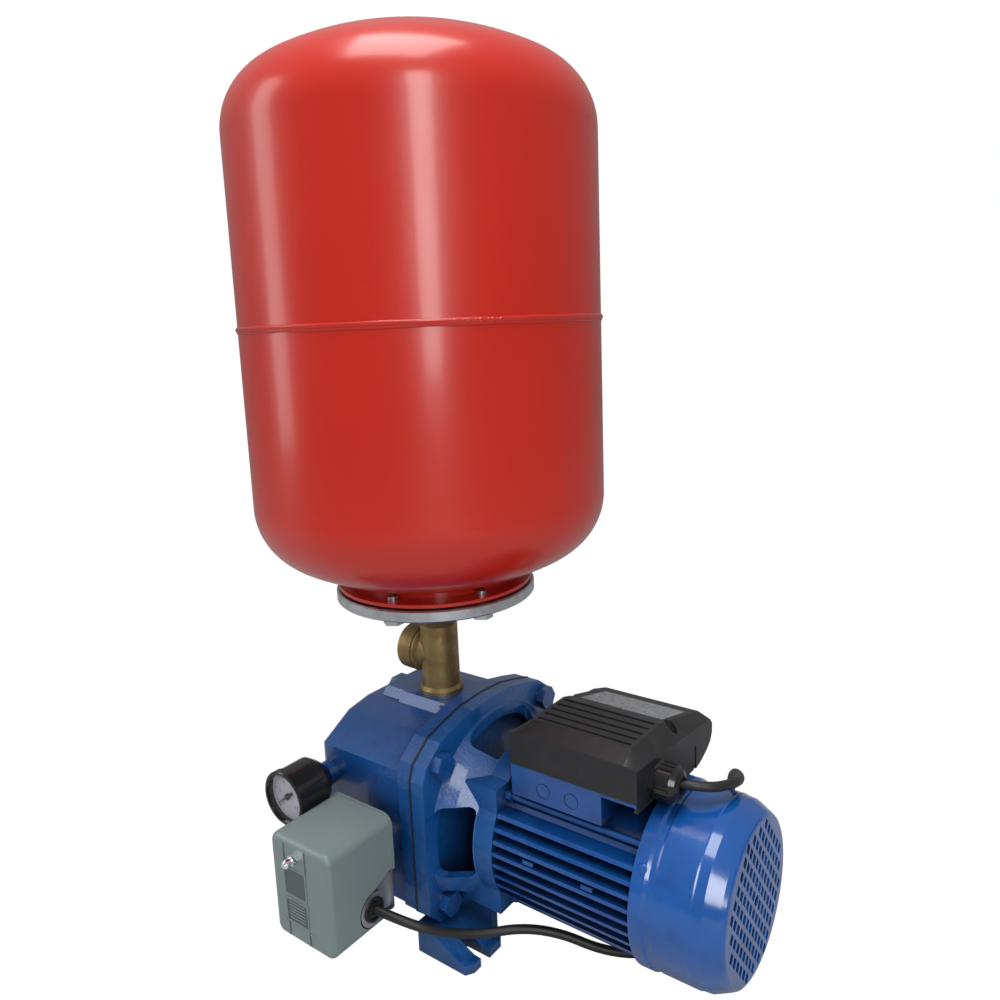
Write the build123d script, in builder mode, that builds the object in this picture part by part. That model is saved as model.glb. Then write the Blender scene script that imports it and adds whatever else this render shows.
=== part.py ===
from build123d import *

import math
import os

# A shallow well jet pump: a flanged cast pump casing, a lantern bracket on two slotted feet, a finned
# induction motor, a brass tee on the discharge port and an upright pressure tank on top of the tee.
# Frame: +X runs along the shaft from the suction port to the fan, +Z is up, and the origin is on the
# floor, half way between the centres of the two foot slots. All sizes are in millimetres.

# ---------------------------------------------------------------- driving dimensions
SHAFT_Z = 81.0                 # height of the shaft above the floor
TANK_X = -70.0                 # tank, tee and discharge port stand on this X
JOINT_X = -30.0                # split between the casing and the bracket
GASKET = 1.6                   # thickness of the body gasket

FLANGE_HALF = 85.0             # half width of the casing flange
FLANGE_TOP = 171.0
FLANGE_CROWN = [(85, 136), (81, 147), (64, 160), (46, 165), (26, 169.5)]
FLANGE_BOTTOM = 8.0
FLANGE_CUT = 24.0              # cut across each lower corner of the flange
FLANGE_MID_Z = (FLANGE_TOP + FLANGE_BOTTOM) / 2
BOLT_Y = 67.0                  # casing bolts, half the spacing across
BOLT_Z = 55.0                  # casing bolts, half the spacing up
BOLT_R = 5.0

BODY_LEFT = -131.0             # suction end of the casing
BODY_HALF = 82.0
BODY_TOP = 159.0
BODY_BOTTOM = 12.0
BODY_CROWN = [(82, 138), (52, 155), (30, 159)]
BODY_WALL = 8.0
BODY_ROUND = 11.0              # rounding of the suction end
PAD_HIGH = 7.0                 # stepped pad on top of the casing
PORT_R = 15.15                 # one inch pipe thread, minor radius
GAUGE_THREAD_R = 5.75          # quarter inch pipe thread

RING_LEFT = 8.0                # motor end of the bracket
RING_RIGHT = 23.9
RING_R = 62.0
SLOT_R = 5.0                   # half the width of a foot slot
FOOT_Y = 68.0                  # middle of a foot slot
FOOT_IN = 45.0
FOOT_OUT = 86.5
FOOT_TIP = 19.0

FRAME_LEFT = 24.0              # finned motor frame
FRAME_RIGHT = 134.0
FRAME_R = 52.0
FRAME_BORE = 46.05
FIN_R = 62.0
FIN_PITCH = 8.7
FIN_THICK = 2.6
ROD_OUT = 39.6                 # tie rods, distance from the shaft along Y and along Z
COVER_R = 62.5                 # fan cover
COVER_END = 194.0

TANK_R = 135.0
TANK_SEAM_Z = 461.0
TANK_STRAIGHT = 132.0          # half the height of the straight wall
KNUCKLE_R = 50.0
CROWN_R = 232.0
TANK_WALL = 1.2
NECK_R = 60.0
DISC_TOP = 258.3               # galvanised counter flange
DISC_BOTTOM = 249.5
DISC_R = 78.5
DISC_BOLT_R = 65.0
DISC_BOLTS = 6

TEE_BOTTOM = BODY_TOP + PAD_HIGH
TEE_PORT_Z = 197.0
TEE_PORT_END = -30.0           # from the tee's axis

BOX_LEFT = 32.0                # terminal box
BOX_RIGHT = 132.0
BOX_BASE_RIGHT = 105.0
BOX_SPLIT_Z = 151.0
GLAND_Y = -20.0
GLAND_Z = 158.0
GLAND_THREAD_R = 6.8

GAUGE_X = -117.6
GAUGE_Z = 115.6
GAUGE_FRONT = 130.2            # distance of its face from the XZ plane
SWITCH_X = -65.0               # pressure switch
SWITCH_Z = 80.0
SWITCH_FRONT = 160.0           # distance of its front face from the XZ plane
SWITCH_BACK = 100.0
GROMMET_Y = 121.5
GROMMET_Z = 53.5
LEAD_R = 3.3                   # motor lead
LEAD_BORE = LEAD_R + 0.15

# ---------------------------------------------------------------- planes and axes
SHAFT = Plane(origin=(0, 0, SHAFT_Z), x_dir=(1, 0, 0), z_dir=(0, -1, 0))
TANK = Plane(origin=(TANK_X, 0, 0), x_dir=(0, 0, 1), z_dir=(0, -1, 0))
TEE_PORT = Plane(origin=(TANK_X, 0, TEE_PORT_Z), x_dir=(1, 0, 0), z_dir=(0, -1, 0))
GAUGE = Plane(origin=(GAUGE_X, 0, GAUGE_Z), x_dir=(0, -1, 0), z_dir=(1, 0, 0))
SWITCH = Plane(origin=(SWITCH_X, 0, SWITCH_Z), x_dir=(0, -1, 0), z_dir=(1, 0, 0))
GLAND = Plane(origin=(0, GLAND_Y, GLAND_Z), x_dir=(1, 0, 0), z_dir=(0, -1, 0))

os.makedirs("parts", exist_ok=True)


# ---------------------------------------------------------------- helpers
def save(builder, name):
    """Label a finished sub-part and write it."""
    builder.part.label = name
    export_step(builder.part, f"parts/{name}.step")


def turn(plane, points, mode=Mode.ADD):
    """Revolve a closed half outline of (along, out) points about its plane's x direction."""
    with BuildSketch(plane) as outline:
        with BuildLine():
            Polyline(*points, close=True)
        make_face()
    revolve(outline.sketch, axis=Axis(plane.origin, plane.x_dir), mode=mode)


def tube(plane, start, end, inner, outer, mode=Mode.ADD):
    """A plain ring or sleeve between two stations of an axis."""
    turn(plane, [(start, inner), (end, inner), (end, outer), (start, outer)], mode)


def rod(plane, start, end, radius, mode=Mode.ADD):
    """A plain round bar between two stations of an axis."""
    tube(plane, start, end, 0, radius, mode)


def across(plane, station):
    """The plane square to an axis plane's x direction, at a station along it."""
    return Plane(origin=plane.origin + plane.x_dir * station, x_dir=plane.z_dir, z_dir=plane.x_dir)


def hexagon(plane, start, end, flats, mode=Mode.ADD):
    """A hexagonal bar between two stations of an axis, given its size across flats."""
    with BuildSketch(across(plane, start)) as outline:
        RegularPolygon(radius=flats / 2, side_count=6, major_radius=False)
    extrude(outline.sketch, amount=end - start, mode=mode)


def block(x, y, z, mode=Mode.ADD):
    """A box given by its (low, high) pairs."""
    middle = ((x[0] + x[1]) / 2, (y[0] + y[1]) / 2, (z[0] + z[1]) / 2)
    with Locations(middle):
        Box(x[1] - x[0], y[1] - y[0], z[1] - z[0], mode=mode)


def prism(plane, points, amount, mode=Mode.ADD):
    """Extrude a closed outline of (across, up) points off its plane."""
    with BuildSketch(plane) as outline:
        with BuildLine():
            Polyline(*points, close=True)
        make_face()
    extrude(outline.sketch, amount=amount, mode=mode)


def along_x(y, z):
    """An axis plane that runs along +X at a given Y and Z."""
    return Plane(origin=(0, y, z), x_dir=(1, 0, 0), z_dir=(0, -1, 0))


def upright(x, y):
    """An axis plane that runs along +Z at a given X and Y."""
    return Plane(origin=(x, y, 0), x_dir=(0, 0, 1), z_dir=(0, -1, 0))


def outward(x, z):
    """An axis plane that runs along -Y at a given X and Z."""
    return Plane(origin=(x, 0, z), x_dir=(0, -1, 0), z_dir=(1, 0, 0))


def mirrored(right):
    """A closed outline from its right half, given from the bottom up."""
    return right + [(-y, z) for y, z in right[::-1] if y]


def flange_outline(inset=0.0):
    """Corner points of the casing flange as (Y, Z), optionally inset."""
    half = FLANGE_HALF - inset
    bottom = FLANGE_BOTTOM + inset
    crown = [(y - inset, z - inset) for y, z in FLANGE_CROWN]
    foot = [(half - FLANGE_CUT, bottom), (half, bottom + FLANGE_CUT)]
    return mirrored(foot + crown + [(0, FLANGE_TOP - inset)])


def body_outline(inset=0.0):
    """Corner points of the casing's cross-section as (Y, Z), optionally inset."""
    half = BODY_HALF - inset
    bottom = BODY_BOTTOM + inset
    crown = [(y - inset, z - inset) for y, z in BODY_CROWN]
    return mirrored([(half - 19, bottom), (half, bottom + 19)] + crown)


CASING_BOLTS = [(y, FLANGE_MID_Z + z) for y in (-BOLT_Y, BOLT_Y) for z in (-BOLT_Z, BOLT_Z)]
TIE_RODS = [(y, SHAFT_Z + z) for y in (-ROD_OUT, ROD_OUT) for z in (-ROD_OUT, ROD_OUT)]


DISC_BOLT_ANGLES = [math.radians(-78 + 360 / DISC_BOLTS * n) for n in range(DISC_BOLTS)]
DISC_BOLT_PLACES = [
    (TANK_X + DISC_BOLT_R * math.cos(a), DISC_BOLT_R * math.sin(a)) for a in DISC_BOLT_ANGLES
]


def dome_points(inset):
    """Half outline of one tank end as (height above its straight wall, radius), knuckle then crown."""
    knuckle = KNUCKLE_R - inset
    crown = CROWN_R - inset
    centre_r = TANK_R - KNUCKLE_R
    meet = math.asin(centre_r / (CROWN_R - KNUCKLE_R))
    crown_centre = -(CROWN_R - KNUCKLE_R) * math.cos(meet)
    half_turn = (math.pi / 2 - meet) / 2
    middle = (knuckle * math.sin(half_turn), centre_r + knuckle * math.cos(half_turn))
    join = (crown_centre + crown * math.cos(meet), crown * math.sin(meet))
    return knuckle, crown, crown_centre, middle, join


def tank_half(direction, hole_r):
    """One pressed half of the tank: straight wall, knuckle and crown, with a hole in its middle."""
    with BuildSketch(TANK) as outline:
        with BuildLine():
            ends = []
            for inset in (0.0, TANK_WALL):
                knuckle, crown, crown_centre, middle, join = dome_points(inset)
                rim = crown_centre + math.sqrt(crown ** 2 - hole_r ** 2)
                half_way = (join[1] + hole_r) / 2
                bow = crown_centre + math.sqrt(crown ** 2 - half_way ** 2)
                stations = [(0, TANK_R - inset), middle, join, (bow, half_way), (rim, hole_r)]
                a, b, c, d, e = [
                    (TANK_SEAM_Z + direction * (TANK_STRAIGHT + h), r) for h, r in stations
                ]
                foot = (TANK_SEAM_Z, TANK_R - inset)
                Line(foot, a)
                ThreePointArc(a, b, c)
                ThreePointArc(c, d, e)
                ends.append((foot, e))
            Line(ends[0][0], ends[1][0])
            Line(ends[0][1], ends[1][1])
        make_face()
    revolve(outline.sketch, axis=Axis(TANK.origin, TANK.x_dir))


def crown_height(radius, inset=0.0):
    """Height of the crown above the end of the straight wall, at a radius."""
    crown_centre = dome_points(0.0)[2]
    return crown_centre + math.sqrt((CROWN_R - inset) ** 2 - radius ** 2)


# ---------------------------------------------------------------- pressure tank
with BuildPart() as upper_shell:
    tank_half(1, 6.0)
save(upper_shell, "tank_upper_shell")

TANK_TOP = TANK_SEAM_Z + TANK_STRAIGHT + crown_height(0)
NECK_TOP = TANK_SEAM_Z - TANK_STRAIGHT - crown_height(NECK_R)
RING_BASE = DISC_TOP + 1.5     # the bladder's lip is clamped under the neck ring
RING_TOP = RING_BASE + 2.5

with BuildPart() as lower_shell:
    tank_half(-1, NECK_R)
    # the joggled seam and its weld bead
    turn(TANK, [
        (TANK_SEAM_Z - 2.2, TANK_R - 0.4), (TANK_SEAM_Z - 1.6, TANK_R + 1.2), (TANK_SEAM_Z, TANK_R + 1.8),
        (TANK_SEAM_Z, TANK_R - 0.4),
    ])
    # neck and flange ring
    tube(TANK, RING_BASE, NECK_TOP + 1.2, NECK_R - 2.0, NECK_R + 0.3)
    tube(TANK, RING_BASE, RING_TOP, NECK_R - 2.0, DISC_R - 2.5)
    for x, y in DISC_BOLT_PLACES:
        rod(upright(x, y), RING_BASE - 1, RING_TOP + 1, 4.05, Mode.SUBTRACT)
save(lower_shell, "tank_lower_shell")

with BuildPart() as bladder:
    turn(TANK, [
        (DISC_TOP, 60.4), (RING_BASE, 60.4), (RING_BASE, 56), (275, 56), (300, 90), (330, 112),
        (560, 112), (590, 95), (610, 60), (618, 0), (616, 0), (608.5, 59), (588.5, 93.5),
        (559.5, 110), (330.5, 110), (301.5, 88.5), (276, 54), (DISC_TOP, 54),
    ])
save(bladder, "tank_bladder")

with BuildPart() as counter_flange:
    tube(TANK, DISC_BOTTOM, DISC_TOP, 12, DISC_R)
    chamfer(counter_flange.edges().filter_by(GeomType.CIRCLE).sort_by(SortBy.RADIUS)[-2:], 1)
    tube(TANK, 234, DISC_BOTTOM, 12, 16.5)
    for x, y in DISC_BOLT_PLACES:
        rod(upright(x, y), DISC_BOTTOM - 1, DISC_TOP + 1, 4.3, Mode.SUBTRACT)
save(counter_flange, "tank_counter_flange")

with BuildPart() as flange_bolts:
    for x, y in DISC_BOLT_PLACES:
        hexagon(upright(x, y), DISC_BOTTOM - 5.5, DISC_BOTTOM, 14)
        rod(upright(x, y), DISC_BOTTOM, RING_TOP + 2.6, 3.98)
        turn(upright(x, y), [(RING_TOP + 2.6, 0), (RING_TOP + 3.8, 0), (RING_TOP + 2.6, 3.98)])
save(flange_bolts, "tank_flange_bolts")

with BuildPart() as valve_stem:
    tube(TANK, TANK_TOP - 12, TANK_TOP + 3, 2.2, 5.9)
    tube(TANK, TANK_TOP - TANK_WALL - 2.4, TANK_TOP - TANK_WALL - 0.3, 2.2, 9)
save(valve_stem, "tank_valve_stem")

with BuildPart() as valve_pin:
    rod(TANK, TANK_TOP - 10, TANK_TOP + 2.6, 1.1)
    rod(TANK, TANK_TOP - 8.5, TANK_TOP - 6.5, 2.0)
save(valve_pin, "tank_valve_pin")

with BuildPart() as valve_cap:
    turn(TANK, [
        (TANK_TOP - 0.35, 17.5), (TANK_TOP + 2.2, 17.5), (TANK_TOP + 4.6, 14), (TANK_TOP + 6, 8),
        (TANK_TOP + 6.4, 0), (TANK_TOP + 5, 0), (TANK_TOP + 4.6, 7.5), (TANK_TOP + 3.4, 12.6),
        (TANK_TOP + 1.6, 14.6), (TANK_TOP - 0.35, 14.6),
    ])
save(valve_cap, "tank_valve_cap")

# ---------------------------------------------------------------- brass tee
with BuildPart() as tee:
    turn(TANK, [
        (TEE_BOTTOM - 15, 0), (TEE_BOTTOM - 15, 16.4), (TEE_BOTTOM, 16.4), (TEE_BOTTOM, 17.8),
        (TEE_BOTTOM + 2.5, 17.8), (TEE_BOTTOM + 5, 15.6), (222, 15.2), (230, 19), (DISC_BOTTOM - 0.1, 19),
        (DISC_BOTTOM - 0.1, 0),
    ])
    turn(TEE_PORT, [
        (TEE_PORT_END, 0), (TEE_PORT_END, 18.6), (-17, 19), (-16.4, 17.6), (-15.2, 18.4), (-14, 18.4),
        (-12.6, 15.8), (0, 15), (0, 0),
    ])
    rod(TANK, TEE_BOTTOM - 21, 233, 12.5, Mode.SUBTRACT)
    rod(TANK, 232, DISC_BOTTOM, 16.6, Mode.SUBTRACT)
    rod(TEE_PORT, TEE_PORT_END - 1, TEE_PORT_END + 16, PORT_R, Mode.SUBTRACT)
    rod(TEE_PORT, TEE_PORT_END, 0, 12.5, Mode.SUBTRACT)
save(tee, "brass_tee")

# ---------------------------------------------------------------- pump casing and what it holds
CASING_RIGHT = JOINT_X - GASKET / 2
CASING_FLANGE = 11.5
FLANGE_LEFT = CASING_RIGHT - CASING_FLANGE
CAVITY_LEFT = BODY_LEFT + BODY_WALL
JET_SEAT = -112.0
SUCTION_END = -138.0
PLUG_X = -94.0
PLUG_Y = 25.0
DRAIN_Z = 28.0
NOZZLE_X = -106.0


def pad(x, half, top):
    """One step of the pad on top of the casing, with sloping sides."""
    profile = [(-half - 8, 156), (-half, top), (half, top), (half + 8, 156)]
    prism(Plane.YZ.offset(x[0]), profile, x[1] - x[0])


with BuildPart() as casing:
    prism(Plane.YZ.offset(BODY_LEFT), body_outline(), CASING_RIGHT - BODY_LEFT)
    fillet(casing.faces().sort_by(Axis.X)[0].edges(), BODY_ROUND)
    prism(Plane.YZ.offset(FLANGE_LEFT), flange_outline(), CASING_FLANGE)
    pad((-92, CASING_RIGHT - 2), 23, BODY_TOP + PAD_HIGH)
    pad((-113, -91), 20, BODY_TOP + PAD_HIGH - 0.7)
    pad((-121, -112), 6, BODY_TOP + PAD_HIGH - 1.4)
    prism(Plane.XZ.offset(-26), [(-52, 164), (CASING_RIGHT, 164), (CASING_RIGHT, 169.5), (-40, 167)], 52)
    rod(SHAFT, SUCTION_END, CAVITY_LEFT, 27)
    rod(GAUGE, BODY_HALF - 6, BODY_HALF + 8, 9.5)
    rod(SWITCH, BODY_HALF - 6, BODY_HALF + 8, 17)
    prism(Plane.YZ.offset(CAVITY_LEFT), body_outline(BODY_WALL), FLANGE_LEFT - CAVITY_LEFT, Mode.SUBTRACT)
    rod(SHAFT, FLANGE_LEFT - 1, CASING_RIGHT + 1, 70, Mode.SUBTRACT)
    # bosses inside the casing for the discharge port, the priming plug and the jet
    rod(TANK, 150.5, BODY_TOP, 22)
    rod(upright(PLUG_X, PLUG_Y), 147, TEE_BOTTOM, 10)
    rod(SHAFT, CAVITY_LEFT - 1, JET_SEAT, 27)
    tube(SHAFT, JET_SEAT - 1, -92, 20, 26)
    rod(TANK, 140, TEE_BOTTOM + 5, 16.5, Mode.SUBTRACT)
    rod(upright(PLUG_X, PLUG_Y), 140, TEE_BOTTOM + 1, 5.8, Mode.SUBTRACT)
    rod(SHAFT, SUCTION_END - 1, SUCTION_END + 20, PORT_R, Mode.SUBTRACT)
    rod(SHAFT, SUCTION_END, JET_SEAT + 1, 13, Mode.SUBTRACT)
    rod(upright(NOZZLE_X, 0), SHAFT_Z - 30, SHAFT_Z - 15, 5.05, Mode.SUBTRACT)
    rod(GAUGE, 60, BODY_HALF + 9, GAUGE_THREAD_R + 0.05, Mode.SUBTRACT)
    rod(SWITCH, 60, BODY_HALF + 9, 6.6, Mode.SUBTRACT)
    rod(along_x(0, DRAIN_Z), BODY_LEFT - 1, CAVITY_LEFT + 1, 5.8, Mode.SUBTRACT)
    for y, z in CASING_BOLTS:
        rod(along_x(y, z), FLANGE_LEFT, CASING_RIGHT + 1, BOLT_R + 0.02, Mode.SUBTRACT)
save(casing, "pump_casing")

with BuildPart() as gasket:
    prism(Plane.YZ.offset(CASING_RIGHT), flange_outline(-0.4), GASKET)
    rod(SHAFT, CASING_RIGHT - 1, CASING_RIGHT + 2, 70.5, Mode.SUBTRACT)
    for y, z in CASING_BOLTS:
        rod(along_x(y, z), CASING_RIGHT - 1, CASING_RIGHT + 2, BOLT_R + 0.6, Mode.SUBTRACT)
save(gasket, "body_gasket")

IMPELLER_LEFT = -54.0
IMPELLER_RIGHT = -44.0
IMPELLER_R = 50.0
DIFFUSER_R = 59.6

with BuildPart() as impeller:
    tube(SHAFT, IMPELLER_RIGHT - 2, IMPELLER_RIGHT, 6.02, IMPELLER_R)
    tube(SHAFT, IMPELLER_LEFT, IMPELLER_LEFT + 2, 18, IMPELLER_R)
    tube(SHAFT, IMPELLER_LEFT - 4, IMPELLER_LEFT + 1, 18, 20)
    tube(SHAFT, IMPELLER_LEFT - 2, IMPELLER_RIGHT + 0.8, 6.02, 11)
    with BuildSketch(Plane.YZ.offset(IMPELLER_LEFT + 1)) as vanes:
        with Locations((0, SHAFT_Z)):
            with PolarLocations(0, 6):
                with Locations((30, 0)):
                    SlotCenterToCenter(36, 3, rotation=25)
    extrude(vanes.sketch, amount=IMPELLER_RIGHT - IMPELLER_LEFT - 2)
save(impeller, "impeller")

with BuildPart() as impeller_nut:
    hexagon(SHAFT, -62.5, IMPELLER_LEFT - 2.1, 13)
    turn(SHAFT, [(-62.5, 0), (-62.5, 6), (-65.5, 3.5), (-66.5, 0)])
    rod(SHAFT, -62, IMPELLER_LEFT - 2, 5.05, Mode.SUBTRACT)
save(impeller_nut, "impeller_nut")

with BuildPart() as diffuser:
    tube(SHAFT, -61, -58.5, 20.5, DIFFUSER_R)
    tube(SHAFT, -61, -33, DIFFUSER_R - 2.4, DIFFUSER_R)
    tube(SHAFT, -66, -60, 20.5, 24)
    with BuildSketch(Plane.YZ.offset(-59)) as guides:
        with Locations((0, SHAFT_Z)):
            with PolarLocations(DIFFUSER_R - 4.6, 8, start_angle=12):
                Rectangle(5.4, 2.4, rotation=40)
    extrude(guides.sketch, amount=16)
save(diffuser, "diffuser")

with BuildPart() as venturi:
    turn(SHAFT, [
        (-97, 12), (-97, 19.7), (-94.5, 19.7), (-94.5, 18.3), (-92.5, 18.3), (-92.5, 19.7), (-90, 19.7),
        (-88, 12), (-75, 12), (-66, 18.5), (-64.8, 20.4), (-63.6, 20.4), (-63.6, 19), (-61.8, 19),
        (-61.8, 20.4), (-58.6, 20.4), (-58.6, 17), (-85, 7), (-89, 7),
    ])
save(venturi, "venturi_tube")

with BuildPart() as o_rings:
    tube(SHAFT, -94.4, -92.6, 18.4, 19.95)
    tube(SHAFT, -63.5, -61.9, 19.1, 20.45)
save(o_rings, "jet_o_rings")

with BuildPart() as nozzle:
    rod(upright(NOZZLE_X, 0), SHAFT_Z - 29, SHAFT_Z, 5)
    turn(SHAFT, [(NOZZLE_X, 0), (NOZZLE_X, 6.5), (-103, 6.5), (-98, 4), (-98, 0)])
    rod(upright(NOZZLE_X, 0), SHAFT_Z - 30, SHAFT_Z, 3.2, Mode.SUBTRACT)
    rod(SHAFT, NOZZLE_X, -97, 2.2, Mode.SUBTRACT)
save(nozzle, "jet_nozzle")

with BuildPart() as seal_seat:
    tube(SHAFT, -29.4, -23.1, 8, 13.05)
save(seal_seat, "seal_seat")

with BuildPart() as seal_rotary:
    tube(SHAFT, -34.5, -29.45, 7.03, 12)
    tube(SHAFT, -36, -34.4, 7.03, 10)
save(seal_rotary, "seal_rotary")

with BuildPart() as seal_spring:
    tube(SHAFT, -36.8, -36.02, 7.5, 10.6)
    with BuildLine() as coil:
        Helix(pitch=1.9, height=5.2, radius=9, center=(-42, 0, SHAFT_Z), direction=(1, 0, 0))
    with BuildSketch(Plane(origin=coil.line @ 0, z_dir=coil.line % 0)):
        Circle(0.5)
    sweep(path=coil.line)
save(seal_spring, "seal_spring")

with BuildPart() as priming_plug:
    hexagon(upright(PLUG_X, PLUG_Y), TEE_BOTTOM, TEE_BOTTOM + 5, 13)
    rod(upright(PLUG_X, PLUG_Y), 149, TEE_BOTTOM, GAUGE_THREAD_R)
save(priming_plug, "priming_plug")

with BuildPart() as drain_plug:
    hexagon(along_x(0, DRAIN_Z), BODY_LEFT - 5, BODY_LEFT, 13)
    rod(along_x(0, DRAIN_Z), BODY_LEFT, CAVITY_LEFT, GAUGE_THREAD_R)
save(drain_plug, "drain_plug")

# ---------------------------------------------------------------- lantern bracket with its feet
BRACKET_LEFT = JOINT_X + GASKET / 2
BRACKET_FLANGE = 12.0
BRACKET_FACE = BRACKET_LEFT + BRACKET_FLANGE
CONE_LEFT = BRACKET_FACE - 1
FOOT_TALL = 24.0

with BuildPart() as foot:
    with BuildSketch() as sole:
        with BuildLine():
            Polyline(
                (BRACKET_LEFT, -FOOT_IN), (FOOT_TIP - 3, -FOOT_IN), (FOOT_TIP, -FOOT_IN - 4),
                (FOOT_TIP, -FOOT_OUT + 6), (FOOT_TIP - 4, -FOOT_OUT), (BRACKET_LEFT, -FOOT_OUT),
                close=True,
            )
        make_face()
        with Locations((FOOT_TIP / 2 + 1, -FOOT_Y)):
            Rectangle(FOOT_TIP + 2, 2 * SLOT_R, mode=Mode.SUBTRACT)
        with Locations((0, -FOOT_Y)):
            Circle(SLOT_R, mode=Mode.SUBTRACT)
    extrude(sole.sketch, amount=FOOT_TALL)
    prism(
        Plane.XZ.offset(FOOT_IN - 1),
        [(FOOT_TIP + 1, 6.5), (13, 7), (-15, 20), (BRACKET_LEFT, FOOT_TALL), (BRACKET_LEFT, 40),
         (FOOT_TIP + 1, 40)],
        FOOT_OUT, Mode.SUBTRACT,
    )

with BuildPart() as bracket:
    prism(Plane.YZ.offset(BRACKET_LEFT), flange_outline(), BRACKET_FLANGE)
    turn(SHAFT, [
        (CONE_LEFT, 0), (CONE_LEFT, 80.6), (-13, 77.6), (-5, 72), (RING_LEFT, RING_R), (RING_LEFT, 0),
    ])
    block((BRACKET_LEFT, RING_LEFT), (-FOOT_IN, FOOT_IN), (0, 30))
    turn(SHAFT, [(-24, 0), (-24, 73), (CONE_LEFT, 73), (RING_LEFT, 54), (RING_LEFT, 0)], Mode.SUBTRACT)
    block((BRACKET_LEFT, RING_LEFT), (-FOOT_IN, FOOT_IN), (22, 28))
    rod(SHAFT, RING_LEFT, RING_RIGHT, RING_R)
    rod(SHAFT, 2, RING_RIGHT - 3, 24)
    rod(SHAFT, -25, -17, 19)
    add(foot.part)
    add(mirror(foot.part, about=Plane.XZ))
    # openings of the lantern, one on each side and a wider one on top
    for side in (-1, 1):
        with BuildSketch(Plane.XZ.offset(side * 36)) as side_window:
            with Locations((-5.2, SHAFT_Z + 5)):
                RectangleRounded(25, 54, 6)
        extrude(side_window.sketch, amount=side * 60, mode=Mode.SUBTRACT)
    with BuildSketch(Plane.XY.offset(SHAFT_Z + 36)) as top_window:
        Polygon((-15, -39.5), (7.6, -28), (7.6, 28), (-15, 39.5), align=None)
        fillet(top_window.vertices(), 5)
    extrude(top_window.sketch, amount=60, mode=Mode.SUBTRACT)
    for y, z in TIE_RODS:
        block((-4, RING_RIGHT), (y - 9, y + 14) if y > 0 else (y - 14, y + 9), (z - 9.5, z + 9.5))
    # bearing pocket and seal seat
    tube(SHAFT, RING_LEFT + 6, RING_RIGHT + 1, 24, 42, Mode.SUBTRACT)
    tube(SHAFT, RING_RIGHT - 3, RING_RIGHT + 1, 0, 42, Mode.SUBTRACT)
    rod(SHAFT, 9.4, RING_RIGHT, 17.52, Mode.SUBTRACT)
    rod(SHAFT, -31, 12, 10, Mode.SUBTRACT)
    rod(SHAFT, -31, -23, 13.1, Mode.SUBTRACT)
    block((BRACKET_FACE, RING_LEFT + 1), (-38, 38), (-1, 22), Mode.SUBTRACT)
    tube(SHAFT, RING_RIGHT - 0.5, RING_RIGHT + 3.1, 42, 45.95)
    for y, z in CASING_BOLTS:
        rod(along_x(y, z), BRACKET_FACE, 5, 10.6, Mode.SUBTRACT)
        rod(along_x(y, z), BRACKET_LEFT - 1, BRACKET_FACE + 1, BOLT_R + 0.3, Mode.SUBTRACT)
    for y, z in TIE_RODS:
        rod(along_x(y, z), 11, RING_RIGHT + 1, 2.6, Mode.SUBTRACT)
save(bracket, "motor_bracket")

with BuildPart() as casing_bolts:
    for y, z in CASING_BOLTS:
        rod(along_x(y, z), FLANGE_LEFT + 0.2, BRACKET_FACE, BOLT_R - 0.02)
        rod(along_x(y, z), BRACKET_FACE, BRACKET_FACE + 1.4, 9.2)
        hexagon(along_x(y, z), BRACKET_FACE + 1.3, BRACKET_FACE + 7.8, 17)
save(casing_bolts, "casing_bolts")

# ---------------------------------------------------------------- motor frame, stator and rotor
FIN_LEVELS = [FIN_PITCH * (n + 0.5) for n in range(-4, 4)]
CORE_LEFT = 46.0
CORE_RIGHT = 114.0
STATOR_BORE = 25.4
STATOR_SLOTS = 24
SLOT_BOTTOM = 38.0

with BuildPart() as frame:
    tube(SHAFT, FRAME_LEFT, FRAME_RIGHT, FRAME_BORE, FRAME_R)
    with BuildSketch(Plane.YZ.offset(FRAME_LEFT + 0.5)) as fins:
        with Locations([(0, SHAFT_Z + level) for level in FIN_LEVELS]):
            Rectangle(2 * FIN_R, FIN_THICK)
        with Locations([(level, SHAFT_Z - FIN_R / 2) for level in FIN_LEVELS]):
            Rectangle(FIN_THICK, FIN_R)
        with Locations((0, SHAFT_Z)):
            Circle(FIN_R, mode=Mode.INTERSECT)
        with Locations((0, SHAFT_Z)):
            Circle(FRAME_R - 1, mode=Mode.SUBTRACT)
    extrude(fins.sketch, amount=FRAME_RIGHT - FRAME_LEFT - 1)
    block((35, 102), (-36, 36), (SHAFT_Z + 36, 138))
    rod(SHAFT, FRAME_LEFT - 1, FRAME_RIGHT + 1, FRAME_BORE, Mode.SUBTRACT)
    for y, z in TIE_RODS:
        rod(along_x(y, z), FRAME_LEFT - 1, FRAME_RIGHT + 1, 5.2, Mode.SUBTRACT)
    block((52, 62), (-14, 14), (120, 139), Mode.SUBTRACT)
save(frame, "motor_housing")

with BuildPart() as stator:
    tube(SHAFT, CORE_LEFT, CORE_RIGHT, STATOR_BORE, FRAME_BORE - 0.03)
    with BuildSketch(Plane.YZ.offset(CORE_LEFT - 1)) as slots:
        with Locations((0, SHAFT_Z)):
            with PolarLocations((STATOR_BORE + 2 + SLOT_BOTTOM) / 2, STATOR_SLOTS):
                SlotOverall(SLOT_BOTTOM - STATOR_BORE - 2, 4)
            with PolarLocations(STATOR_BORE + 1.5, STATOR_SLOTS):
                Rectangle(4, 1.6)
    extrude(slots.sketch, amount=CORE_RIGHT - CORE_LEFT + 2, mode=Mode.SUBTRACT)
save(stator, "stator_core")

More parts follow.
